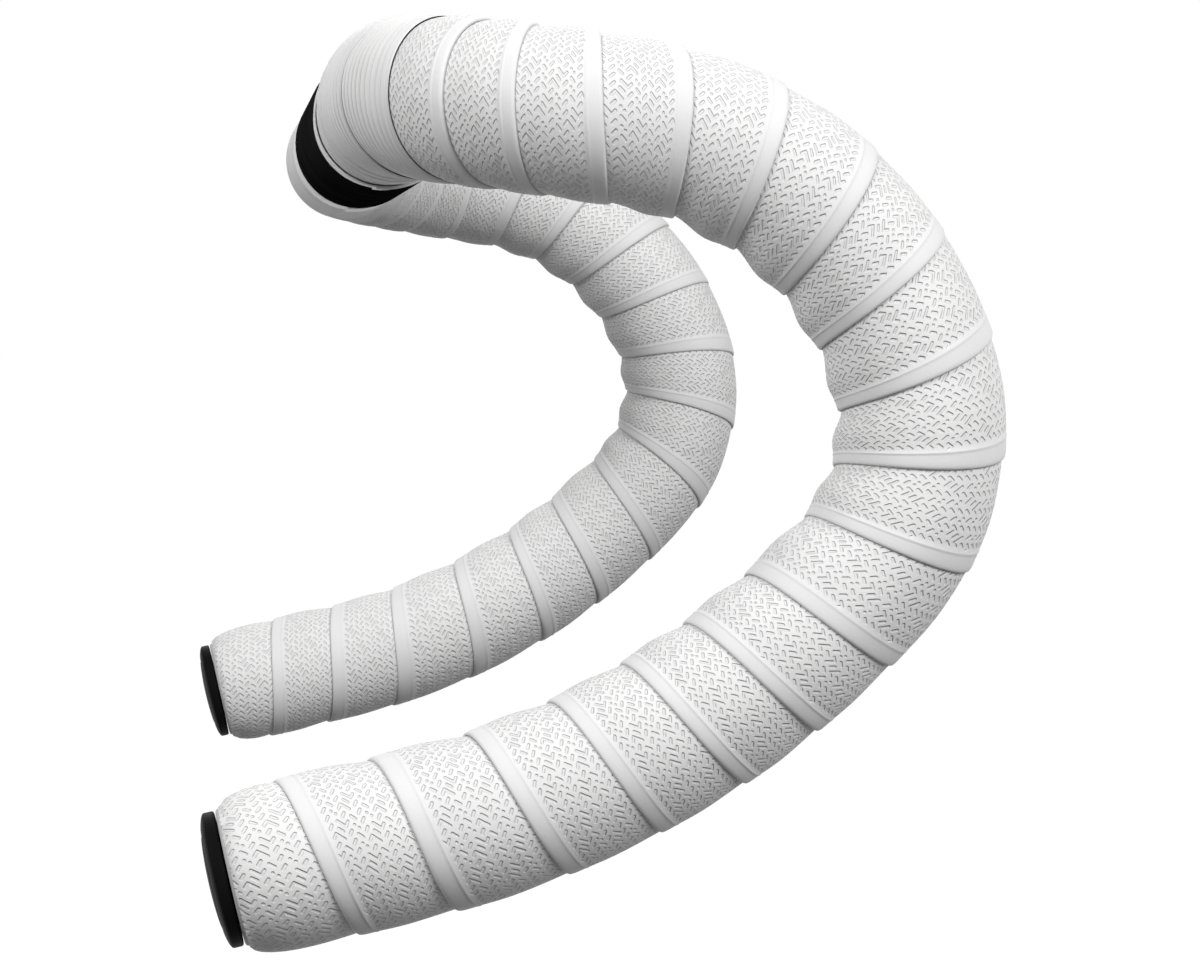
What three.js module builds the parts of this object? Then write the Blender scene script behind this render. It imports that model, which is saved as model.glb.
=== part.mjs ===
// Tape-wrapped drop handlebar for a road bicycle, in millimetres.
// Frame: X forward, Y to the rider's left, Z up, origin on the bar axis at the stem clamp.
import * as THREE from 'three';
import { mergeVertices } from 'three/addons/utils/BufferGeometryUtils.js';

// Bar outline, one half, from the stem clamp to the open end
const BAR_WIDTH = 400; // centre to centre of the drops
const CORNER_RADIUS = 40;
const RAMP_SLOPE = 8.6; // degrees below level
const RAMP_LENGTH = 3;
const SHOULDER_RADIUS = 65.6;
const SHOULDER_SWEEP = 61.9; // degrees
const HOOK_RADIUS = 41.8;
const HOOK_SWEEP = 62.7; // degrees
const DROP_RADIUS = 166.2;
const DROP_SWEEP = 34.1; // degrees
const DROP_STRAIGHT = 34.2;

// Bar section: a thick clamp zone that tapers to the grip diameter
const GRIP_DIAMETER = 23.8;
const CLAMP_DIAMETER = 31.8;
const BAR_WALL = 2.2;
const CLAMP_HALF_LENGTH = 55;
const TAPER_END = 90; // distance from the middle at which the grip diameter starts

// Cushioned tape, wound from the bar end towards the clamp with each turn over the last
const TAPE_BUILD = 4; // thickness of the overlapping layers on the bar
const TAPE_STEP = 0.65; // height of a turn's exposed edge over the turn below
// Height along one turn as a share of that step: high at its exposed edge, lowest at the next turn
const TURN_PROFILE = [[0, 0.4], [0.55, 0.45], [1, -0.6]];
const STEP_FADE = 11; // length over which the steps fade out at the strip and at the bar end
// Distance of each turn's exposed edge from the bar end, where it faces the bike's right side
const RIGHT_EDGES = [
  14.9, 33.4, 53.7, 72.1, 88.7, 104, 121, 139.5, 156.5, 173.5, 191, 207, 224.5,
  241, 256.5, 268.5, 279, 289.5, 301.5, 315.5, 331.5, 348.5, 365.5, 382.5, 399.5,
];
const LEFT_EDGES = [
  13.1, 29.7, 48.1, 70.3, 90.5, 107.1, 125.6, 142.2, 160.6, 175.3, 191.9, 208.5, 225.5,
  241.5, 257.5, 271.5, 282.5, 293.5, 305.5, 319.5, 336.5, 353.5, 370.5, 387.5, 404.5,
];
const TAPE_STOP = 80; // distance of the tape's last edge from the middle
const TAPE_FULL = 135; // distance from the middle at which the tape has its full thickness
const TAPE_STOP_BUILD = 1.3; // thinner, stretched end of the tape on the bar's taper
const SHOULDER_LENGTH = 8; // length over which the tape narrows at the bar end
const LIP_RADIUS = 13.8; // outer radius of the tape where it folds over the bar end
const LIP_THICKNESS = 2;
const TUCK_DEPTH = 9;
const TUCK_THICKNESS = 1.3;

// Finishing strip, which holds the tape's last edge
const STRIP_LENGTH = 24;
const STRIP_OVER_BAR = 9;
const STRIP_THICKNESS = 0.8;

// End plug: a cap with a ribbed hollow stem
const CAP_RADIUS = 13;
const CAP_THICKNESS = 3.9; // at the top of its domed face
const CAP_RIM = 1.9; // straight height of its edge
const CAP_ROUNDING = 0.4;
const STEM_LENGTH = 24;
const STEM_WALL = 1.6;
const STEM_PLAY = 0.4; // between the ribs and the tucked tape
const RIB_COUNT = 3;
const RIB_HEIGHT = 0.5;

const CLEARANCE = 0.3;
const SEGMENTS = 16; // facets around every round section
const ARC_STEP = 13; // degrees of bend per facet along the bar
const SHORTEST_FACET = 1; // along the bar

const radians = THREE.MathUtils.degToRad;
const BORE_RADIUS = GRIP_DIAMETER / 2 - BAR_WALL;

// Right half of the bar's centre line, built as straight runs and arcs.
// Each run starts from a point with its travel, inward and outboard directions; inward points
// to the inside of the drop's bend and outboard to the outside of the bike.
const rampUp = new THREE.Vector3(Math.sin(radians(RAMP_SLOPE)), 0, Math.cos(radians(RAMP_SLOPE)));
const rampForward = new THREE.Vector3(rampUp.z, 0, -rampUp.x);
const runs = [];

function addRun(length, bend, towards) {
  const last = runs[runs.length - 1];
  const start = last ? pose(last, last.length) : {
    point: new THREE.Vector3(),
    travel: new THREE.Vector3(0, -1, 0),
    inward: rampUp.clone().negate(),
    outboard: rampForward.clone().negate(),
  };
  runs.push({ from: last ? last.from + last.length : 0, length, bend, towards, start });
}

// The point and the three directions at a distance along one run
function pose(run, distance) {
  const { point, travel, inward, outboard } = run.start;
  const angle = run.bend ? distance / run.length * run.bend : 0;
  if (angle === 0) {
    return { point: point.clone().addScaledVector(travel, distance), travel, inward, outboard };
  }
  const radius = run.length / run.bend;
  const side = run.towards === 'inward' ? inward : outboard.clone().negate();
  const turned = {
    point: point.clone()
      .addScaledVector(travel, radius * Math.sin(angle))
      .addScaledVector(side, radius * (1 - Math.cos(angle))),
    travel: travel.clone().multiplyScalar(Math.cos(angle)).addScaledVector(side, Math.sin(angle)),
    inward,
    outboard,
  };
  const across = side.clone().multiplyScalar(Math.cos(angle)).addScaledVector(travel, -Math.sin(angle));
  if (run.towards === 'inward') {
    turned.inward = across;
  } else {
    turned.outboard = across.negate();
  }
  return turned;
}

addRun(BAR_WIDTH / 2 - CORNER_RADIUS, 0);
addRun(CORNER_RADIUS * Math.PI / 2, Math.PI / 2, 'forward');
addRun(RAMP_LENGTH, 0);
addRun(SHOULDER_RADIUS * radians(SHOULDER_SWEEP), radians(SHOULDER_SWEEP), 'inward');
addRun(HOOK_RADIUS * radians(HOOK_SWEEP), radians(HOOK_SWEEP), 'inward');
addRun(DROP_RADIUS * radians(DROP_SWEEP), radians(DROP_SWEEP), 'inward');
addRun(DROP_STRAIGHT, 0);
const HALF_LENGTH = runs.reduce((sum, run) => sum + run.length, 0);

function poseAt(distance) {
  const run = runs.findLast((each) => distance >= each.from) ?? runs[0];
  return pose(run, distance - run.from);
}

// Distances from the middle at which the bar and everything wound on it has a ring of facets
function stations(from, to) {
  const marks = [0, CLAMP_HALF_LENGTH, TAPER_END, HALF_LENGTH];
  for (const run of runs) {
    const steps = Math.max(1, Math.ceil(run.bend / radians(ARC_STEP)));
    for (let i = 0; i < steps; i += 1) {
      marks.push(run.from + run.length * i / steps);
    }
  }
  const inside = marks.filter((mark) => mark > from + SHORTEST_FACET && mark < to - SHORTEST_FACET);
  return [...new Set([from, ...inside, to])].sort((a, b) => a - b);
}

function barRadius(distance) {
  const share = (distance - CLAMP_HALF_LENGTH) / (TAPER_END - CLAMP_HALF_LENGTH);
  return THREE.MathUtils.lerp(CLAMP_DIAMETER, GRIP_DIAMETER, THREE.MathUtils.clamp(share, 0, 1)) / 2;
}

// A point on a round section: turn 0 is the inside of the bend, a quarter turn is outboard.
function sectionPoint(distance, radius, turn, side) {
  const { point, inward, outboard } = poseAt(Math.abs(distance));
  const angle = turn * Math.PI * 2;
  const place = point.clone()
    .addScaledVector(inward, radius * Math.cos(angle))
    .addScaledVector(outboard, radius * Math.sin(angle));
  if (side === 'left') {
    place.y = -place.y;
  }
  return place;
}

// Collects quads and turns them into one closed body with its faces pointing out
class Skin {
  positions = [];

  quad(a, b, c, d, flip) {
    const corners = flip ? [a, c, b, a, d, c] : [a, b, c, a, c, d];
    for (const corner of corners) {
      this.positions.push(corner.x, corner.y, corner.z);
    }
  }

  // Rings of facets through a list of [distance, radius], each joined to the next
  rings(profile, side) {
    for (let i = 0; i + 1 < profile.length; i += 1) {
      const [nearDistance, nearRadius] = profile[i];
      const [farDistance, farRadius] = profile[i + 1];
      for (let k = 0; k < SEGMENTS; k += 1) {
        const here = k / SEGMENTS;
        const next = (k + 1) % SEGMENTS / SEGMENTS;
        this.quad(
          sectionPoint(nearDistance, nearRadius, here, side),
          sectionPoint(farDistance, farRadius, here, side),
          sectionPoint(farDistance, farRadius, next, side),
          sectionPoint(nearDistance, nearRadius, next, side),
          side === 'left',
        );
      }
    }
  }

  geometry() {
    const loose = new THREE.BufferGeometry();
    loose.setAttribute('position', new THREE.Float32BufferAttribute(this.positions, 3));
    const merged = mergeVertices(loose, 1e-3);
    const index = merged.index.array;
    const kept = [];
    for (let i = 0; i < index.length; i += 3) {
      const [a, b, c] = [index[i], index[i + 1], index[i + 2]];
      if (a !== b && b !== c && c !== a) {
        kept.push(a, b, c);
      }
    }
    merged.setIndex(kept);
    merged.computeVertexNormals();
    return merged;
  }
}

// Handlebar: one bent and swaged alloy tube, open at both ends
function handlebarGeometry() {
  const skin = new Skin();
  const outside = stations(0, HALF_LENGTH).map((distance) => [distance, barRadius(distance)]);
  const inside = outside.map(([distance, radius]) => [distance, radius - BAR_WALL]).reverse();
  for (const side of ['right', 'left']) {
    skin.rings([...outside, ...inside], side);
  }
  return skin.geometry();
}

// Outer radius of the tape before the turns' steps are added
function tapeRadius(distance) {
  if (distance < TAPE_FULL) {
    const share = (TAPE_FULL - distance) / (TAPE_FULL - TAPE_STOP);
    const full = GRIP_DIAMETER / 2 + TAPE_BUILD;
    return THREE.MathUtils.lerp(full, barRadius(TAPE_STOP) + TAPE_STOP_BUILD, share);
  }
  const fromEnd = THREE.MathUtils.clamp((HALF_LENGTH - distance) / SHOULDER_LENGTH, 0, 1);
  const swell = Math.sqrt(1 - (1 - fromEnd) ** 2);
  return THREE.MathUtils.lerp(LIP_RADIUS, GRIP_DIAMETER / 2 + TAPE_BUILD, swell);
}

const HELIX_START = SHOULDER_LENGTH / 2;

// The steps fade out at the bar end and under the finishing strip, where the tape is pulled flat.
function stepShare(distance) {
  const atEnd = THREE.MathUtils.smoothstep(HALF_LENGTH - distance, HELIX_START, HELIX_START + STEP_FADE);
  const stripEdge = TAPE_STOP - STRIP_OVER_BAR + STRIP_LENGTH + CLEARANCE;
  return atEnd * THREE.MathUtils.smoothstep(distance, stripEdge, stripEdge + STEP_FADE);
}

// Distance of the strip's exposed edge from the bar end after a number of turns
function edgeDistance(edges, turns) {
  const before = THREE.MathUtils.clamp(Math.floor(turns), 0, edges.length - 2);
  return edges[before] + (edges[before + 1] - edges[before]) * (turns - before);
}

// Tape: one long strip wound in overlapping turns, folded over the bar end and tucked into it.
// The turn at which the edges were measured is the section's side that faces the bike's right.
function tapeGeometry(side, edges) {
  const skin = new Skin();
  const last = HALF_LENGTH - TAPE_STOP;
  const edgeTurn = side === 'right' ? 0.25 : 0.75;
  const place = (row, turnShare, height) => {
    const turns = row / SEGMENTS - edgeTurn;
    const edge = edgeDistance(edges, turns);
    const fromEnd = THREE.MathUtils.lerp(edge, edgeDistance(edges, turns + 1), turnShare);
    const distance = HALF_LENGTH - THREE.MathUtils.clamp(fromEnd, HELIX_START, last);
    const radius = tapeRadius(distance) + height * TAPE_STEP * stepShare(distance);
    return sectionPoint(distance, radius, (row % SEGMENTS + SEGMENTS) % SEGMENTS / SEGMENTS, side);
  };
  let rows = 0;
  while (edgeDistance(edges, rows / SEGMENTS - edgeTurn) < last) {
    rows += 1;
  }
  for (let row = -2 * SEGMENTS; row < rows; row += 1) {
    for (let i = 0; i < TURN_PROFILE.length; i += 1) {
      const here = TURN_PROFILE[i];
      const isStep = i + 1 === TURN_PROFILE.length;
      const next = isStep ? TURN_PROFILE[0] : TURN_PROFILE[i + 1];
      const nextRow = isStep ? row + SEGMENTS : row;
      skin.quad(
        place(row, ...here),
        place(row + 1, ...here),
        place(nextRow + 1, ...next),
        place(nextRow, ...next),
        side === 'left',
      );
    }
  }
  const bore = BORE_RADIUS - CLEARANCE;
  const shoulder = [HELIX_START, HELIX_START / 4, 0].map((fromEnd) => {
    const distance = HALF_LENGTH - fromEnd;
    return [distance, tapeRadius(distance)];
  });
  const lip = HALF_LENGTH + LIP_THICKNESS;
  const wrapped = stations(TAPE_STOP, HALF_LENGTH + CLEARANCE).reverse();
  skin.rings([
    ...shoulder,
    [lip - LIP_THICKNESS / 3, LIP_RADIUS - LIP_THICKNESS / 6],
    [lip, LIP_RADIUS - LIP_THICKNESS / 2],
    [lip, bore - TUCK_THICKNESS + LIP_THICKNESS / 2],
    [lip - LIP_THICKNESS / 2, bore - TUCK_THICKNESS],
    [HALF_LENGTH - TUCK_DEPTH, bore - TUCK_THICKNESS],
    [HALF_LENGTH - TUCK_DEPTH, bore],
    [HALF_LENGTH + CLEARANCE, bore],
    ...wrapped.map((distance) => [distance, barRadius(distance) + CLEARANCE]),
    [TAPE_STOP, tapeRadius(TAPE_STOP)],
  ], side);
  return skin.geometry();
}

// Finishing strip: a thin adhesive band over the tape's last edge and the bar beside it
function finishingGeometry(side) {
  const skin = new Skin();
  const start = TAPE_STOP - STRIP_OVER_BAR;
  const step = TAPE_STOP - CLEARANCE;
  const end = start + STRIP_LENGTH;
  const overBar = (distance) => barRadius(distance) + CLEARANCE;
  const overTape = (distance) => tapeRadius(distance) + CLEARANCE;
  skin.rings([
    [start, overBar(start) + STRIP_THICKNESS],
    [step - STRIP_THICKNESS, overTape(TAPE_STOP) + STRIP_THICKNESS],
    [end, overTape(end) + STRIP_THICKNESS],
    [end, overTape(end)],
    [step, overTape(TAPE_STOP)],
    [step, overBar(step)],
    [start, overBar(start)],
    [start, overBar(start) + STRIP_THICKNESS],
  ], side);
  return skin.geometry();
}

// End plug: a turned profile about its own axis, which points out of the bar along +Y
function plugGeometry() {
  const stem = BORE_RADIUS - CLEARANCE - TUCK_THICKNESS - STEM_PLAY - RIB_HEIGHT;
  const rise = CAP_THICKNESS - CAP_RIM;
  const domeHeight = (share) => CAP_RIM + rise * Math.sqrt(1 - share ** 2);
  const dome = [0, 0.6, 0.9].map((share) => [CAP_RADIUS * share, domeHeight(share)]);
  const profile = [
    ...dome,
    [CAP_RADIUS, CAP_RIM],
    [CAP_RADIUS, CAP_ROUNDING],
    [CAP_RADIUS - CAP_ROUNDING, 0],
    [stem, 0],
  ];
  const ribSpan = STEM_LENGTH / (RIB_COUNT + 1);
  for (let rib = 1; rib <= RIB_COUNT; rib += 1) {
    const middle = -rib * ribSpan;
    profile.push([stem, middle + ribSpan / 4]);
    profile.push([stem + RIB_HEIGHT, middle]);
    profile.push([stem, middle - ribSpan / 4]);
  }
  profile.push([stem, -STEM_LENGTH], [stem - STEM_WALL, -STEM_LENGTH], [stem - STEM_WALL, 0], [0, 0]);
  const points = profile.reverse().map(([radius, height]) => new THREE.Vector2(radius, height));
  const turned = new THREE.LatheGeometry(points, SEGMENTS);
  turned.deleteAttribute('normal');
  turned.deleteAttribute('uv');
  const skin = new Skin();
  skin.positions = Array.from(turned.toNonIndexed().attributes.position.array);
  return skin.geometry();
}

function placePlug(mesh, side) {
  const { point, travel } = poseAt(HALF_LENGTH);
  const out = travel.clone();
  const seat = point.clone().addScaledVector(travel, LIP_THICKNESS + CLEARANCE);
  if (side === 'left') {
    seat.y = -seat.y;
    out.y = -out.y;
  }
  mesh.position.copy(seat);
  mesh.quaternion.setFromUnitVectors(new THREE.Vector3(0, 1, 0), out);
}

function named(name, geometry, color, roughness, metalness) {
  const material = new THREE.MeshStandardMaterial({ color, roughness, metalness });
  const mesh = new THREE.Mesh(geometry, material);
  mesh.name = name;
  return mesh;
}

const object = new THREE.Group();
object.add(named('handlebar', handlebarGeometry(), 0x0c0c0d, 0.35, 0.8));

const wraps = { right: RIGHT_EDGES, left: LEFT_EDGES };
for (const [side, edges] of Object.entries(wraps)) {
  const assembly = new THREE.Group();
  assembly.add(named(`tape_${side}`, tapeGeometry(side, edges), 0xf0f0ee, 0.6, 0));
  assembly.add(named(`finishing_strip_${side}`, finishingGeometry(side), 0xf6f6f4, 0.35, 0));
  const plug = named(`end_plug_${side}`, plugGeometry(), 0x0a0a0a, 0.4, 0);
  placePlug(plug, side);
  assembly.add(plug);
  object.add(assembly);
}

export default object;
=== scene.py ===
"""A road drop handlebar wound with white embossed tape, with finishing strips and end plugs.

Sizes are in millimetres and become metres where a mesh is made. X is forward, Y the rider's left and
Z up, with the origin on the bar's axis in the middle of its bare clamp zone.
"""

import bmesh
import bpy
import numpy as np
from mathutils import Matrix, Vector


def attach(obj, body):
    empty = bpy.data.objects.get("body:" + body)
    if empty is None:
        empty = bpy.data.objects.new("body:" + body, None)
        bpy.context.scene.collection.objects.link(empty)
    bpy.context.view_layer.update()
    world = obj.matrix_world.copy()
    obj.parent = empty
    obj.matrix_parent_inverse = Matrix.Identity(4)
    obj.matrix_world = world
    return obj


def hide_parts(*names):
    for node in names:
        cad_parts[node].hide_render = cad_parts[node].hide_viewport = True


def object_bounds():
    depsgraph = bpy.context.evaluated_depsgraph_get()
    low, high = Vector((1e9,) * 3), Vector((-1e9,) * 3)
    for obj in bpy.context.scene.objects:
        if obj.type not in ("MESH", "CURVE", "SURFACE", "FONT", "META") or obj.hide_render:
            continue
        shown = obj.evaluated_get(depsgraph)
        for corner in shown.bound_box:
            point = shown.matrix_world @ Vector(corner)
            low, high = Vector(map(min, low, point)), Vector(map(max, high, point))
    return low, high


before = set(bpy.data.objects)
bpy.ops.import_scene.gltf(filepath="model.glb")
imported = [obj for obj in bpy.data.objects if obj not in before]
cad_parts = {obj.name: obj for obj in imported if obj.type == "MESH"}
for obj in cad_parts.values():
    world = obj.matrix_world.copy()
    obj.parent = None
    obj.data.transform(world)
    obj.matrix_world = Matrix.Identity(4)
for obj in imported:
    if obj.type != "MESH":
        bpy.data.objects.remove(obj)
cad_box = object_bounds()

# Handlebar
# One bent alloy tube, swaged thick in the middle, where the stem clamps it, and anodised black.
# It carries the rest: the tape is stuck to it and the plugs are pushed into its open ends.
GRIP_RADIUS = 11.9
CLAMP_RADIUS = 15.9
BAR_WALL = 2.2
CLAMP_HALF_LENGTH = 55.0
TAPER_END = 90.0
RAMP_SLOPE = np.radians(8.6)
# Length, sweep and way of bending of each run, from the middle to the open end
BAR_RUNS = [
    (160.0, 0.0, "straight"),
    (40.0 * np.pi / 2, np.pi / 2, "forward"),
    (3.0, 0.0, "straight"),
    (65.6 * np.radians(61.9), np.radians(61.9), "inward"),
    (41.8 * np.radians(62.7), np.radians(62.7), "inward"),
    (166.2 * np.radians(34.1), np.radians(34.1), "inward"),
    (34.2, 0.0, "straight"),
]
BAR_HALF_LENGTH = sum(run[0] for run in BAR_RUNS)
BAR_FACETS = 48
BARE_RINGS, BENT_RINGS = 46, 120
BAR_BLACK = (0.012, 0.012, 0.013)
BAR_RUBBED = (0.020, 0.020, 0.021)
MILLIMETRE = 0.001
WELD_DISTANCE = 0.000002


def bar_pose(distance):
    """Point, inward and outboard directions of the right half at distances from the middle.

    On an arc of radius R turned by a: point = start + R sin(a) travel + R (1 - cos(a)) bend,
    travel becomes cos(a) travel + sin(a) bend, and bend becomes cos(a) bend - sin(a) travel.
    """
    up = np.array([np.sin(RAMP_SLOPE), 0, np.cos(RAMP_SLOPE)])
    start, travel = np.zeros(3), np.array([0.0, -1.0, 0.0])
    inward, outboard = -up, np.array([-np.cos(RAMP_SLOPE), 0, np.sin(RAMP_SLOPE)])
    point = np.zeros(distance.shape + (3,))
    inwards, outboards = np.zeros_like(point), np.zeros_like(point)
    reached = 0.0
    for length, sweep, way in BAR_RUNS:
        here = distance >= reached
        along = np.append(distance[here] - reached, length)[:, None]
        if way == "straight":
            places, turned = start + along * travel, np.zeros_like(along)
            bend = inward
        else:
            bend = inward if way == "inward" else -outboard
            turned = along / length * sweep
            arc = length / sweep
            places = start + arc * np.sin(turned) * travel + arc * (1 - np.cos(turned)) * bend
        travels = np.cos(turned) * travel + np.sin(turned) * bend
        bends = np.cos(turned) * bend - np.sin(turned) * travel
        in_here = bends if way == "inward" else np.broadcast_to(inward, bends.shape)
        out_here = -bends if way == "forward" else np.broadcast_to(outboard, bends.shape)
        point[here], inwards[here], outboards[here] = places[:-1], in_here[:-1], out_here[:-1]
        start, travel, inward, outboard = places[-1], travels[-1], in_here[-1], out_here[-1]
        reached += length
    return point, inwards, outboards


def bar_radius(distance):
    """Clamp radius, easing down to the grip radius by a half cosine over the taper."""
    share = np.clip((distance - CLAMP_HALF_LENGTH) / (TAPER_END - CLAMP_HALF_LENGTH), 0, 1)
    return CLAMP_RADIUS + (GRIP_RADIUS - CLAMP_RADIUS) * (1 - np.cos(np.pi * share)) / 2


def around_bar(distance, turn, radius, side):
    """Points at point + radius (cos(2 pi turn) inward + sin(2 pi turn) outboard), mirrored on the left.

    Turn 0 is the inside of the drop's bend and a quarter turn is outboard.
    """
    distance, turn, radius = np.broadcast_arrays(distance, turn, radius)
    point, inward, outboard = bar_pose(distance)
    angle = 2 * np.pi * turn[..., None]
    places = point + radius[..., None] * (np.cos(angle) * inward + np.sin(angle) * outboard)
    places[..., 1] *= side
    return places


def skin(name, places, closed_rows=False, strip=None):
    """Mesh of the quads of a grid of points, which close_piece later merges where points meet and turns with
    its faces out.

    The grid's columns close on themselves. Strip holds each corner's place on the wound strip.
    """
    rows, columns = places.shape[:2]
    number = np.arange(rows * columns).reshape(rows, columns)
    if strip is None:
        number = np.hstack([number, number[:, :1]])
    if closed_rows:
        number = np.vstack([number, number[:1]])
    quads = np.stack([number[:-1, :-1], number[1:, :-1], number[1:, 1:], number[:-1, 1:]], -1).reshape(-1, 4)
    mesh = bpy.data.meshes.new(name)
    mesh.from_pydata(places.reshape(-1, 3) * MILLIMETRE, [], quads)
    if strip is not None:
        layer = mesh.uv_layers.new(name="strip")
        layer.uv.foreach_set("vector", strip.reshape(-1, 2)[quads.ravel()].astype(np.float32).ravel())
    return mesh


def close_piece(name, meshes, material, slot, *nodes):
    """Joins meshes into one closed shell, turns its faces out and puts it in the CAD nodes' place."""
    shell = bmesh.new()
    for mesh in meshes:
        shell.from_mesh(mesh)
    bmesh.ops.remove_doubles(shell, verts=shell.verts, dist=WELD_DISTANCE)
    bmesh.ops.recalc_face_normals(shell, faces=shell.faces)
    if shell.calc_volume(signed=True) < 0:
        bmesh.ops.reverse_faces(shell, faces=shell.faces)
    joined = bpy.data.meshes.new(name)
    shell.to_mesh(joined)
    shell.free()
    joined.polygons.foreach_set("use_smooth", np.ones(len(joined.polygons), bool))
    joined.materials.append(material)
    piece = bpy.data.objects.new(name, joined)
    bpy.context.scene.collection.objects.link(piece)
    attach(piece, "root")
    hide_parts(*nodes)


def finish_of(name):
    """New material: its node tree, its surface shader and its Object coordinates."""
    material = bpy.data.materials.new(name)
    material.use_nodes = True
    tree = material.node_tree
    surface = tree.nodes["Principled BSDF"]
    place = tree.nodes.new("ShaderNodeTexCoord").outputs["Object"]
    return material, tree, surface, place


def grain(tree, place, scale, detail=3.0):
    """Fractal noise with a given number of cells in a metre."""
    noise = tree.nodes.new("ShaderNodeTexNoise")
    noise.inputs["Scale"].default_value = scale
    noise.inputs["Detail"].default_value = detail
    tree.links.new(place, noise.inputs["Vector"])
    return noise.outputs["Fac"]


def between(tree, value, low, high, start=0.0, end=1.0, smooth=False):
    """Maps low..high to start..end, held at both ends."""
    ramp = tree.nodes.new("ShaderNodeMapRange")
    ramp.interpolation_type = "SMOOTHSTEP" if smooth else "LINEAR"
    for socket, number in zip(list(ramp.inputs)[1:5], (low, high, start, end)):
        socket.default_value = number
    tree.links.new(value, ramp.inputs["Value"])
    return ramp.outputs["Result"]


def mixed(tree, factor, first, second):
    """Colour between two colours."""
    mix = tree.nodes.new("ShaderNodeMix")
    mix.data_type = "RGBA"
    for socket, colour in ((mix.inputs["A"], first), (mix.inputs["B"], second)):
        if isinstance(colour, bpy.types.NodeSocket):
            tree.links.new(colour, socket)
        else:
            socket.default_value = (*colour, 1)
    tree.links.new(factor, mix.inputs["Factor"])
    return mix.outputs["Result"]


def relief(tree, surface, height, depth):
    """Bump of a height from 0 to 1 that stands for a depth in millimetres."""
    bump = tree.nodes.new("ShaderNodeBump")
    bump.inputs["Strength"].default_value = 1.0
    bump.inputs["Distance"].default_value = depth * MILLIMETRE
    tree.links.new(height, bump.inputs["Height"])
    tree.links.new(bump.outputs["Normal"], surface.inputs["Normal"])


def black_anodised():
    """Matt black alloy with a fine blasted grain and faint rubbed patches, and no gloss at a slant."""
    material, tree, surface, place = finish_of("black_anodised")
    rubbed = between(tree, grain(tree, place, 55), 0.35, 0.7)
    tree.links.new(mixed(tree, rubbed, BAR_BLACK, BAR_RUBBED), surface.inputs["Base Color"])
    surface.inputs["Specular IOR Level"].default_value = 0.0
    relief(tree, surface, grain(tree, place, 2600), 0.02)
    return material


def bar_tube():
    """Outer wall out to the open end and back along the bore, as a closed loop of rings."""
    bare = np.linspace(0, TAPER_END, BARE_RINGS)
    bent = np.linspace(TAPER_END, BAR_HALF_LENGTH, BENT_RINGS)[1:]
    half = np.concatenate([bare, bent])
    distance = np.concatenate([-half[:0:-1], half])
    distance = np.concatenate([distance, distance[::-1]])
    wall = np.repeat([0.0, BAR_WALL], len(distance) // 2)
    turn = np.arange(BAR_FACETS) / BAR_FACETS
    places = around_bar(np.abs(distance)[:, None], turn, (bar_radius(np.abs(distance)) - wall)[:, None], 1)
    places[..., 1] *= np.where(distance < 0, -1, 1)[:, None]
    return skin("bar_tube", places, closed_rows=True)


close_piece("bar_tube", [bar_tube()], black_anodised(), "bar_black", "handlebar")

# Bar tape
# A long soft strip with a smooth band along one edge and a pressed herringbone over the rest. It is
# wound from the bar end with each turn lapped over the last, and its end is folded into the bar.
TAPE_RADIUS = 15.9
TAPE_STOP = 80.0
TAPE_STOP_RADIUS = 14.34
TAPE_FULL = 135.0
SHOULDER_LENGTH = 8.0
LIP_START = -1.4
LIP_RADIUS = 13.2
LIP_THICKNESS = 2.0
LIP_ROUND, FOLD_ROUND = 0.6, 1.2
CLEARANCE = 0.3
TUCK_DEPTH = 9.0
TUCK_RADIUS = 8.1
BORE_RADIUS = GRIP_RADIUS - BAR_WALL - CLEARANCE
STRIP_START, STRIP_END = 71.0, 95.0
STEP_FADE = 11.0
ROWS_PER_TURN = 96
UNDER_RINGS = 70
TURN_AROUND = 2 * np.pi * TAPE_RADIUS
BAND_WIDTH = 3.4
# Distance of each turn's exposed edge from the bar end, where it faces the bike's right side
RIGHT_EDGES = np.array([
    14.9, 33.4, 53.7, 72.1, 88.7, 104, 121, 139.5, 156.5, 173.5, 191, 207, 224.5,
    241, 256.5, 268.5, 279, 289.5, 301.5, 315.5, 331.5, 348.5, 365.5, 382.5, 399.5,
])
LEFT_EDGES = np.array([
    13.1, 29.7, 48.1, 70.3, 90.5, 107.1, 125.6, 142.2, 160.6, 175.3, 191.9, 208.5, 225.5,
    241.5, 257.5, 271.5, 282.5, 293.5, 305.5, 319.5, 336.5, 353.5, 370.5, 387.5, 404.5,
])
# Share of a turn from the exposed edge and height there: lapped edge, smooth band, raised line, and
# the field that crowns a little and sinks to the foot of the next turn's edge
TURN_SECTION = np.array([
    (0.0, -0.42), (0.004, -0.26), (0.008, -0.06), (0.016, 0.09), (0.03, 0.18), (0.055, 0.24),
    (0.10, 0.26), (0.155, 0.26), (0.175, 0.26), (0.184, 0.33), (0.197, 0.33), (0.207, 0.25),
    (0.26, 0.28), (0.36, 0.33), (0.47, 0.32), (0.58, 0.24), (0.69, 0.10), (0.80, -0.06),
    (0.88, -0.19), (0.94, -0.29), (0.975, -0.35), (0.993, -0.40), (1.0, -0.42),
])
# Turns before the first edge over which its lap grows out of the plain end
FIRST_LAP = (-0.7, -0.4)
# How much the steps' height sways along the strip, and how much an edge wanders
PULL_SWAY, PULL_TREMBLE = 0.18, 0.1
EDGE_SWAY, EDGE_TREMBLE = 0.2, 0.12
# The last turns are stretched flat: from this turn after the first edge the pattern is pulled smooth
# into fine ridges that run round the bar
STRETCHED_FROM = 16.5
STRETCHED_HEIGHT = 0.3
RIDGE_SPACING = 1.6
RIDGE_WANDER = 2.4
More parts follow.
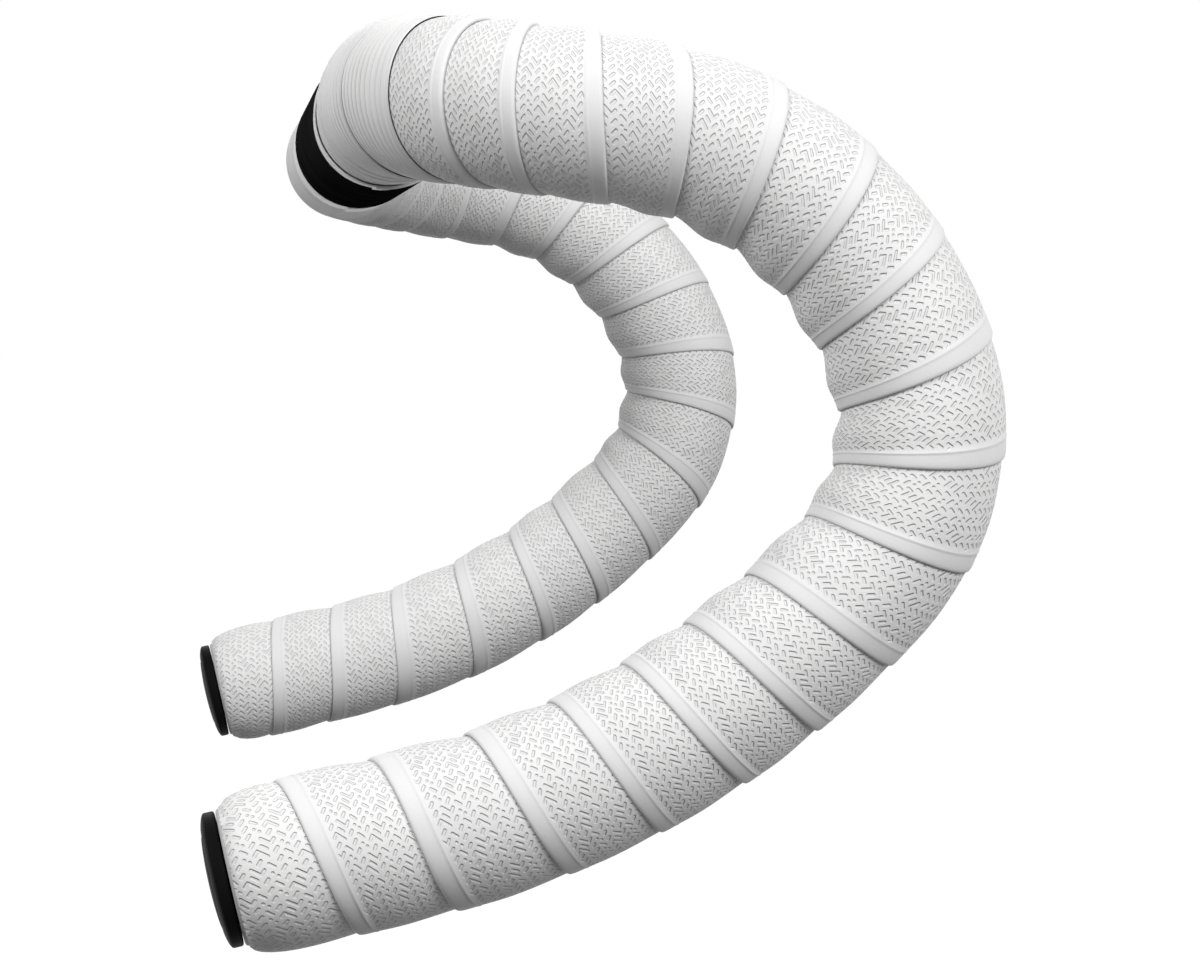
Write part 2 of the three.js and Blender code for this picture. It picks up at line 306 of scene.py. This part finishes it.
# Distance from the middle and share of the full pucker height that a bend gives its inside. The same
# share of the flattening is on its outside.
PUCKER_PLACES = [215.0, 240.0, 300.0, 330.0, 370.0, 392.0, 440.0, 470.0]
PUCKER_SHARES = [0.0, 0.7, 0.8, 0.75, 0.4, 0.3, 0.25, 0.0]
PUCKER_HEIGHT = 1.1
FLATTENING = 0.5
# Share of either wave's height at which it crosses the mean radius
EVEN_OUT = 0.4
# The herringbone's cell and how far the press pulled it along the strip. In cells: half a stroke's
# length, and how far a stroke that runs on reaches from its brick's middle. In millimetres: where a
# groove's floor ends and where its wall is up.
STITCH = 0.92
STITCH_STRETCH = 1.4
STROKE_HALF, STROKE_ON = 0.4, 1.5
GROOVE_FLOOR, GROOVE_WALL = 0.09, 0.29
PRESSED_DEPTH = 0.28
BAND_WHITE = (0.79, 0.79, 0.79)
FIELD_WHITE = (0.82, 0.82, 0.815)
# Grey that the grooves are mixed towards as painted shade, and the random mottle as tone
SHADE_AND_MOTTLE_GREY = (0.42, 0.42, 0.43)
# Grey of the painted shadow line in the corner under each lapped edge
CORNER_SHADOW_GREY = (0.14, 0.14, 0.145)


def tape_radius(distance):
    """Mean outer radius: full, a quarter ellipse down to the lip, and a slope down to the last edge."""
    from_end = np.clip((BAR_HALF_LENGTH - distance - LIP_START) / (SHOULDER_LENGTH - LIP_START), 0, 1)
    full = LIP_RADIUS + (TAPE_RADIUS - LIP_RADIUS) * np.sqrt(1 - (1 - from_end) ** 2)
    thinning = np.clip((TAPE_FULL - distance) / (TAPE_FULL - TAPE_STOP), 0, 1)
    return full + (TAPE_STOP_RADIUS - TAPE_RADIUS) * thinning


def eased(value, low, high):
    """Rises from 0 to 1 between low and high as 3 t^2 - 2 t^3."""
    share = np.clip((value - low) / (high - low), 0, 1)
    return share * share * (3 - 2 * share)


def edge_distance(edges, turns):
    """Exposed edge's distance from the bar end: lines between the measured edges, carried on at both
    ends, averaged over a quarter turn before and after, plus a wander of a few tenths."""
    steps = np.arange(1, 4)
    before = edges[0] - (edges[1] - edges[0]) * steps[::-1]
    after = edges[-1] + (edges[-1] - edges[-2]) * steps
    known = np.concatenate([before, edges, after])
    number = np.arange(len(known)) - len(steps)
    smooth = sum(np.interp(turns + shift, number, known) for shift in (-0.25, 0.0, 0.0, 0.25)) / 4
    return smooth + EDGE_SWAY * np.sin(2.3 * turns + edges[2]) + EDGE_TREMBLE * np.sin(9.1 * turns)


def wound_tape(name, side, edges, edge_turn):
    """The strip's face, wound as a helix.

    At winding t in turns and share v across, the distance from the bar end is
    edge(t) (1 - v) + edge(t + 1) v, and the radius is the mean radius plus the section's height at v,
    plus puckers of the form sin(pi v)^2 on the inside of the bends, less a chord's depth 4 v (1 - v) on
    their outside, where the strip is pulled straight. Both ends are held at a plain ring. The strip's
    place is kept in millimetres along it and across, and before the first lap it starts past the band.
    """
    last = BAR_HALF_LENGTH - TAPE_STOP
    turns = np.arange(-2 * ROWS_PER_TURN, (len(edges) + 2) * ROWS_PER_TURN + 1) / ROWS_PER_TURN
    t, v = np.meshgrid(turns, TURN_SECTION[:, 0], indexing="ij")
    from_end = edge_distance(edges, t - edge_turn) * (1 - v) + edge_distance(edges, t + 1 - edge_turn) * v
    distance = BAR_HALF_LENGTH - np.clip(from_end, LIP_START, last)
    shown = eased(t - edge_turn, *FIRST_LAP) * (1 - v) + eased(t + 1 - edge_turn, *FIRST_LAP) * v
    stepped = eased(BAR_HALF_LENGTH - distance, LIP_START, STEP_FADE) * shown
    stepped = stepped * eased(distance, STRIP_END + CLEARANCE, STRIP_END + STEP_FADE)
    pull = 1 + PULL_SWAY * np.sin(1.7 * t + edge_turn) + PULL_TREMBLE * np.sin(7.1 * t)
    pull = pull * (1 - (1 - STRETCHED_HEIGHT) * eased(t - edge_turn, STRETCHED_FROM, STRETCHED_FROM + 0.8))
    turn = np.round(np.mod(t, 1) * ROWS_PER_TURN) / ROWS_PER_TURN % 1
    inside = np.maximum(np.cos(2 * np.pi * turn), 0) ** 2
    tight = np.interp(distance, PUCKER_PLACES, PUCKER_SHARES)
    pucker = PUCKER_HEIGHT * inside * tight * (np.sin(np.pi * v) ** 2 - EVEN_OUT)
    outside = np.maximum(-np.cos(2 * np.pi * turn), 0)
    sag = FLATTENING * outside * tight * (EVEN_OUT - 4 * v * (1 - v))
    height = (TURN_SECTION[:, 1] * pull + pucker + sag) * stepped
    places = around_bar(distance, turn, tape_radius(distance) + height, side)
    exposed = (RIGHT_EDGES[-1] - RIGHT_EDGES[0]) / (len(RIGHT_EDGES) - 1)
    across = v * exposed + (1 - shown) * BAND_WIDTH * 1.2
    return skin(name, places, strip=np.stack([(t - edge_turn) * TURN_AROUND, across], -1))


def tape_ends(name, side):
    """Rings round the lip, into the bar, back out and along the bar's wall to the last edge."""
    lip = -LIP_THICKNESS
    fold = np.linspace(0, np.pi / 2, 6)
    rise, fall = np.sin(fold), 1 - np.cos(fold)
    outer = np.stack([LIP_START + (lip - LIP_START) * rise, LIP_RADIUS - LIP_ROUND * fall], 1)
    inner = np.stack([lip + FOLD_ROUND * fall, TUCK_RADIUS + FOLD_ROUND * (1 - rise)], 1)
    tuck = [(TUCK_DEPTH, TUCK_RADIUS), (TUCK_DEPTH, BORE_RADIUS), (-CLEARANCE, BORE_RADIUS)]
    under = np.linspace(-CLEARANCE, BAR_HALF_LENGTH - TAPE_STOP, UNDER_RINGS)
    wall = np.stack([under, bar_radius(BAR_HALF_LENGTH - under) + CLEARANCE], 1)
    stop = [(BAR_HALF_LENGTH - TAPE_STOP, TAPE_STOP_RADIUS)]
    profile = np.concatenate([outer, inner, tuck, wall, stop])
    turn = np.arange(ROWS_PER_TURN) / ROWS_PER_TURN
    places = around_bar(BAR_HALF_LENGTH - profile[:, :1], turn, profile[:, 1:], side)
    return skin(name, places)


def maths(tree, operation, *values):
    """One step of arithmetic on sockets and numbers."""
    step = tree.nodes.new("ShaderNodeMath")
    step.operation = operation
    for socket, value in zip(step.inputs, values):
        if isinstance(value, bpy.types.NodeSocket):
            tree.links.new(value, socket)
        else:
            socket.default_value = value
    return step.outputs[0]


def pick(tree, choice, first, second):
    """First where choice is 0 and second where it is 1."""
    return maths(tree, "ADD", maths(tree, "MULTIPLY", maths(tree, "SUBTRACT", second, first), choice), first)


def herringbone(tree, along, across, brick):
    """Depth of pressed strokes and dots, 1 in a groove and 0 between them.

    With p = (along + across) / (sqrt(2) brick) and q = (along - across) / (sqrt(2) brick), whole cells
    i, j and k = (i - j) mod 4, cells with k under 2 make bricks that lie along p, the others along q.
    Each brick has a stroke along its middle. By ((i + j) / 2 + 3 (i - j) / 4) mod 7 of its first cell,
    a brick along p has two dots in its place, or a stroke that runs on into the next brick as an L.
    """
    scale = 1 / (np.sqrt(2) * brick)
    p = maths(tree, "MULTIPLY", maths(tree, "ADD", along, across), scale)
    q = maths(tree, "MULTIPLY", maths(tree, "SUBTRACT", along, across), scale)
    i, j = maths(tree, "FLOOR", p), maths(tree, "FLOOR", q)
    in_p, in_q = maths(tree, "SUBTRACT", p, i), maths(tree, "SUBTRACT", q, j)
    total, apart = maths(tree, "ADD", i, j), maths(tree, "SUBTRACT", i, j)
    k = maths(tree, "FLOORED_MODULO", apart, 4.0)
    upright = maths(tree, "GREATER_THAN", k, 1.5)
    last_cell = maths(tree, "COMPARE", k, 2.0, 0.1)

    def number_of(first_sum, first_apart):
        places = maths(tree, "MULTIPLY", first_sum, 0.5)
        rows = maths(tree, "MULTIPLY", first_apart, 0.75)
        return maths(tree, "FLOORED_MODULO", maths(tree, "ADD", places, rows), 7.0)

    def is_kind(number, kind):
        return maths(tree, "COMPARE", number, kind, 0.1)

    def length(x, y):
        squares = maths(tree, "ADD", maths(tree, "MULTIPLY", x, x), maths(tree, "MULTIPLY", y, y))
        return maths(tree, "SQRT", squares)

    def over(value):
        return maths(tree, "MAXIMUM", value, 0.0)

    off_p, off_q = maths(tree, "SUBTRACT", in_p, 0.5), maths(tree, "SUBTRACT", in_q, 0.5)
    # Bricks along p: k is 0 in their first cell and 1 in their second
    reach = maths(tree, "SUBTRACT", maths(tree, "ADD", k, in_p), 1.0)
    number = number_of(maths(tree, "SUBTRACT", total, k), maths(tree, "SUBTRACT", apart, k))
    runs_on, runs_back = is_kind(number, 1.0), is_kind(number, 3.0)
    dotted = maths(tree, "MAXIMUM", is_kind(number, 0.0), is_kind(number, 5.0))
    far = pick(tree, runs_on, pick(tree, runs_back, STROKE_HALF, 0.0), STROKE_ON)
    near = pick(tree, runs_back, pick(tree, runs_on, STROKE_HALF, 0.0), STROKE_ON)
    past_far = maths(tree, "SUBTRACT", reach, far)
    past_near = maths(tree, "SUBTRACT", maths(tree, "MULTIPLY", reach, -1.0), near)
    past_stroke = over(maths(tree, "MAXIMUM", past_far, past_near))
    past_dot = maths(tree, "ABSOLUTE", maths(tree, "SUBTRACT", maths(tree, "ABSOLUTE", reach), STROKE_HALF))
    flat = length(pick(tree, dotted, past_stroke, past_dot), off_q)
    # Bricks along q: k is 3 in their first cell and 2 in their second
    rise = maths(tree, "SUBTRACT", maths(tree, "ADD", maths(tree, "SUBTRACT", 3.0, k), in_q), 1.0)
    stroke = length(over(maths(tree, "SUBTRACT", maths(tree, "ABSOLUTE", rise), STROKE_HALF)), off_p)
    before = number_of(maths(tree, "SUBTRACT", total, 2.0), maths(tree, "SUBTRACT", apart, 2.0))
    after = number_of(maths(tree, "ADD", total, 1.0), maths(tree, "ADD", apart, 1.0))
    coming_on = maths(tree, "MULTIPLY", last_cell, is_kind(before, 1.0))
    not_last = maths(tree, "SUBTRACT", 1.0, last_cell)
    coming_back = maths(tree, "MULTIPLY", not_last, is_kind(after, 3.0))
    way = pick(tree, last_cell, -1.0, 1.0)
    joining = length(over(maths(tree, "MULTIPLY", off_p, way)), off_q)
    absent = maths(tree, "SUBTRACT", 1.0, maths(tree, "ADD", coming_on, coming_back))
    joining = maths(tree, "ADD", joining, maths(tree, "MULTIPLY", absent, 9.0))
    away = pick(tree, upright, flat, maths(tree, "MINIMUM", stroke, joining))
    off_stroke = maths(tree, "MULTIPLY", away, brick)
    return between(tree, off_stroke, GROOVE_FLOOR, GROOVE_WALL, 1.0, 0.0, smooth=True)


def embossed_white():
    """Soft white tape: pressed herringbone past the smooth band, with painted shade in its grooves and a
    fine grain.

    The grooves start past the band, and a thin painted shadow line lies in the corner under each lapped
    edge.
    On the last turns, round ridges sin(2 pi (across + wander) / spacing) take the pattern's place.
    """
    material, tree, surface, place = finish_of("embossed_white_tape")
    strip = tree.nodes.new("ShaderNodeUVMap")
    strip.uv_map = "strip"
    parts = tree.nodes.new("ShaderNodeSeparateXYZ")
    tree.links.new(strip.outputs["UV"], parts.inputs[0])
    along, across = parts.outputs["X"], parts.outputs["Y"]
    stretched = between(tree, along, STRETCHED_FROM * TURN_AROUND, STRETCHED_FROM * TURN_AROUND + 2)
    field = between(tree, across, BAND_WIDTH, BAND_WIDTH + 0.4)
    pattern = herringbone(tree, maths(tree, "DIVIDE", along, STITCH_STRETCH), across, STITCH)
    pattern = maths(tree, "MULTIPLY", pattern, field)
    wander = maths(tree, "MULTIPLY", grain(tree, place, 30, 1.0), RIDGE_WANDER)
    wave = maths(tree, "MULTIPLY", maths(tree, "ADD", across, wander), 2 * np.pi / RIDGE_SPACING)
    ridge = maths(tree, "SINE", wave)
    ridge = maths(tree, "MULTIPLY", between(tree, ridge, 0.2, 1.0, 0.0, 0.9, smooth=True),
                  between(tree, grain(tree, place, 45, 1.0), 0.35, 0.65))
    groove = pick(tree, stretched, pattern, ridge)
    # Painted shade in the grooves and ridges, plus a random mottle of tone
    groove_shade_and_mottle = maths(tree, "ADD", maths(tree, "MULTIPLY", groove, 0.06),
                  between(tree, grain(tree, place, 60), 0.3, 0.7, 0.0, 0.08))
    tint = mixed(tree, field, BAND_WHITE, FIELD_WHITE)
    soft = mixed(tree, groove_shade_and_mottle, tint, SHADE_AND_MOTTLE_GREY)
    # Painted shadow along the corner at the foot of each lapped edge, fainter on the stretched turns
    corner = between(tree, across, 0.03, 0.2, 0.45, 0.0, smooth=True)
    corner = maths(tree, "MULTIPLY", corner, pick(tree, stretched, 1.0, 0.4))
    tree.links.new(mixed(tree, corner, soft, CORNER_SHADOW_GREY), surface.inputs["Base Color"])
    surface.inputs["Roughness"].default_value = 0.46
    surface.inputs["Specular IOR Level"].default_value = 0.08
    fine = maths(tree, "MULTIPLY", grain(tree, place, 1500), 0.1)
    relief(tree, surface, maths(tree, "SUBTRACT", fine, groove), PRESSED_DEPTH)
    return material


tape_finish = embossed_white()
for name, side, edges, edge_turn in (
    ("tape_right", 1, RIGHT_EDGES, 0.25),
    ("tape_left", -1, LEFT_EDGES, 0.75),
):
    winding = wound_tape(name + "_face", side, edges, edge_turn)
    ends = tape_ends(name + "_ends", side)
    close_piece("wound_" + name, [winding, ends], tape_finish, "tape_white", name)

# Finishing strips
# A thin smooth adhesive film goes round the tape's last edge and the bar beside it, two layers deep.
# It holds the tape down, so it follows the tape, drops at its edge and sticks to the black tube.
FILM_LAYER = 0.4
# How far before and past the tape's last edge the film bridges the step
BRIDGE_BEFORE, BRIDGE_PAST = 1.4, 0.4
BORDER_SWAY, BORDER_TREMBLE = 0.2, 0.12
FILM_WHITE = (0.77, 0.77, 0.77)
FILM_STRETCHED = (0.80, 0.80, 0.80)


def finishing_film(side):
    """Rings over the film's outside and back along its inside.

    The outer radius grows by one layer with the turn, which leaves the film's own end as a step, and
    the two borders wander by a few tenths of a millimetre.
    """
    turn = np.arange(ROWS_PER_TURN + 1) / ROWS_PER_TURN
    turn[-1] -= 0.002
    over_bar = np.linspace(STRIP_START, TAPE_STOP - BRIDGE_BEFORE, 6)
    over_tape = np.linspace(TAPE_STOP + BRIDGE_PAST, STRIP_END, 12)
    along = np.concatenate([over_bar, over_tape])
    base = np.where(along < TAPE_STOP, bar_radius(along), tape_radius(along)) + CLEARANCE
    outer = base[:, None] + FILM_LAYER * (0.9 + turn)
    inner = np.broadcast_to(base[:, None], outer.shape)
    wander = BORDER_SWAY * np.sin(4 * np.pi * turn + side) + BORDER_TREMBLE * np.sin(10 * np.pi * turn)
    ease = (along - STRIP_START) / (STRIP_END - STRIP_START)
    shift = wander * (1 - 2 * ease[:, None])
    distance = np.broadcast_to(along[:, None], outer.shape) + shift
    rows = np.concatenate([distance, distance[::-1]])
    radii = np.concatenate([outer, inner[::-1]])
    places = around_bar(rows, np.broadcast_to(turn, rows.shape), radii, side)
    return skin("finishing_film", places, closed_rows=True)


def smooth_white_film():
    """Glossy white vinyl with faint stretch ripples."""
    material, tree, surface, place = finish_of("smooth_white_film")
    stretch = between(tree, grain(tree, place, 70), 0.3, 0.7)
    tree.links.new(mixed(tree, stretch, FILM_WHITE, FILM_STRETCHED), surface.inputs["Base Color"])
    tree.links.new(between(tree, stretch, 0.0, 1.0, 0.3, 0.4), surface.inputs["Roughness"])
    surface.inputs["Specular IOR Level"].default_value = 0.3
    relief(tree, surface, grain(tree, place, 260), 0.12)
    return material


film_finish = smooth_white_film()
for name, side in (("right", 1), ("left", -1)):
    close_piece("finishing_film_" + name, [finishing_film(side)], film_finish,
                "strip_white", "finishing_strip_" + name)

# End plugs
# A moulded black cap with a rounded rim closes each end of the bar. Its ribbed hollow stem is pushed
# into the bore and grips the tape that is tucked in there.
CAP_RADIUS = 13.0
CAP_THICKNESS = 3.9
CAP_RIM = 1.9
RING_RADIUS, RING_WIDTH, RING_DEPTH = 9.2, 0.4, 0.2
STEM_RADIUS = 7.2
STEM_LENGTH = 24.0
STEM_WALL = 1.6
RIB_HEIGHT = 0.5
PLUG_FACETS = 72
PLUG_BLACK = (0.006, 0.006, 0.006, 1)


def plug_profile():
    """Radius and height along the plug's outline, from the face's middle to the stem's floor.

    The face is a quarter ellipse (R sin(a), rim + rise cos(a)) with a shallow ring in it, the rim
    is straight with a small round at its back, and three ribs stand on the stem as half sines.
    """
    quarter = np.linspace(0, np.pi / 2, 40)
    face = CAP_RADIUS * np.sin(quarter)
    crown = CAP_RIM + (CAP_THICKNESS - CAP_RIM) * np.cos(quarter)
    crown = crown - RING_DEPTH * np.exp(-((face - RING_RADIUS) / RING_WIDTH) ** 2)
    back_round = np.array([(CAP_RADIUS, 0.4), (CAP_RADIUS - 0.12, 0.12), (CAP_RADIUS - 0.4, 0.0)])
    down = np.linspace(0, STEM_LENGTH, 49)[1:]
    rib = RIB_HEIGHT * np.maximum(np.sin(6 * np.pi * down / STEM_LENGTH), 0)
    stem = np.concatenate([[(STEM_RADIUS, 0.0)], np.stack([STEM_RADIUS + rib, -down], 1)])
    inside = np.array([(STEM_RADIUS - STEM_WALL, -STEM_LENGTH), (STEM_RADIUS - STEM_WALL, 0.0), (0.0, 0.0)])
    return np.concatenate([np.stack([face, crown], 1), back_round, stem, inside])


def plug(side):
    """The profile turned about the bar's axis past its open end."""
    radius, height = plug_profile().T
    seat = BAR_HALF_LENGTH + LIP_THICKNESS + CLEARANCE
    turn = np.arange(PLUG_FACETS) / PLUG_FACETS
    return skin("plug", around_bar((seat + height)[:, None], turn, radius[:, None], side))


def moulded_black():
    """Black moulded plastic with a faint sheen and a fine spark-eroded grain."""
    material, tree, surface, place = finish_of("moulded_black")
    surface.inputs["Base Color"].default_value = PLUG_BLACK
    surface.inputs["Specular IOR Level"].default_value = 0.015
    tree.links.new(between(tree, grain(tree, place, 90), 0.3, 0.7, 0.38, 0.5), surface.inputs["Roughness"])
    relief(tree, surface, grain(tree, place, 2200), 0.03)
    return material


plug_finish = moulded_black()
for name, side in (("right", 1), ("left", -1)):
    close_piece("end_cap_" + name, [plug(side)], plug_finish, "plug_black", "end_plug_" + name)

# Floor, light and camera
# The bar is held at its clamp zone above a pale floor, in the light of two large softboxes at the front
# and a weak one behind. The camera stands on the bike's right side.
FLOOR_BELOW = 0.2
FLOOR_HALF = 30.0
FLOOR_GREY = (0.12, 0.12, 0.12, 1)
WHITE = (1, 1, 1, 1)
AMBIENT = 0.36
CAMERA_PLACE = (-0.0398, -0.9858, -0.0429)
CAMERA_TURN_RIGHT = 5.474
CAMERA_TILT_DOWN = 2.232
CAMERA_LENS = 125.4


def pale_floor(level):
    """Wide plane, lifted to white where it is seen, and more where the lamps don't reach.

    Under the bar the lift leaves room for the lamps' light, so that the floor keeps the shadow.
    """
    material, tree, surface, place = finish_of("pale_floor")
    surface.inputs["Base Color"].default_value = FLOOR_GREY
    surface.inputs["Roughness"].default_value = 0.9
    surface.inputs["Specular IOR Level"].default_value = 0.0
    surface.inputs["Emission Color"].default_value = WHITE
    from_middle = tree.nodes.new("ShaderNodeVectorMath")
    from_middle.operation = "LENGTH"
    tree.links.new(place, from_middle.inputs[0])
    lift = between(tree, from_middle.outputs["Value"], 0.3, 1.3, 0.88, 0.96, smooth=True)
    path = tree.nodes.new("ShaderNodeLightPath")
    seen = maths(tree, "MAXIMUM", path.outputs["Is Camera Ray"], path.outputs["Is Transmission Ray"])
    seen = maths(tree, "MAXIMUM", seen, path.outputs["Is Glossy Ray"])
    tree.links.new(maths(tree, "MULTIPLY", seen, lift), surface.inputs["Emission Strength"])
    corners = [(x * FLOOR_HALF, y * FLOOR_HALF, level) for x, y in ((-1, -1), (1, -1), (1, 1), (-1, 1))]
    mesh = bpy.data.meshes.new("floor")
    mesh.from_pydata(corners, [], [(0, 1, 2, 3)])
    mesh.materials.append(material)
    floor = bpy.data.objects.new("floor", mesh)
    bpy.context.scene.collection.objects.link(floor)


def white_surround():
    """World that is white where it is seen, also in reflections, and dimmer as a light."""
    world = bpy.data.worlds.new("surround")
    bpy.context.scene.world = world
    world.use_nodes = True
    tree = world.node_tree
    path = tree.nodes.new("ShaderNodeLightPath")
    seen = maths(tree, "MAXIMUM", path.outputs["Is Camera Ray"], path.outputs["Is Transmission Ray"])
    seen = maths(tree, "MAXIMUM", seen, path.outputs["Is Glossy Ray"])
    background = tree.nodes["Background"]
    background.inputs["Color"].default_value = WHITE
    tree.links.new(maths(tree, "MAXIMUM", seen, AMBIENT), background.inputs["Strength"])


def soft_lamp(name, place, aim, size, power):
    """Square area lamp turned towards a point."""
    lamp = bpy.data.lights.new(name, "AREA")
    lamp.size = size
    lamp.energy = power
    holder = bpy.data.objects.new(name, lamp)
    holder.location = place
    holder.rotation_mode = "QUATERNION"
    holder.rotation_quaternion = (holder.location - type(holder.location)(aim)).to_track_quat("Z", "Y")
    bpy.context.scene.collection.objects.link(holder)


pale_floor(cad_box[0].z - FLOOR_BELOW)
white_surround()
soft_lamp("left_softbox", (-0.97, -0.9, 0.8), (0.03, -0.1, -0.07), 0.7, 14)
soft_lamp("right_softbox", (1.0, -1.1, 0.7), (0.03, -0.1, -0.07), 0.7, 17.5)
soft_lamp("back_softbox", (0.03, 1.3, 0.7), (0.03, 0.1, -0.07), 0.8, 3)

camera = bpy.data.objects.new("camera", bpy.data.cameras.new("camera"))
camera.location = CAMERA_PLACE
camera.rotation_euler = (np.radians(90 - CAMERA_TILT_DOWN), 0, np.radians(-CAMERA_TURN_RIGHT))
camera.data.lens = CAMERA_LENS
camera.data.sensor_width = 36
bpy.context.scene.collection.objects.link(camera)
bpy.context.scene.camera = camera
bpy.context.scene.view_settings.view_transform = "Standard"
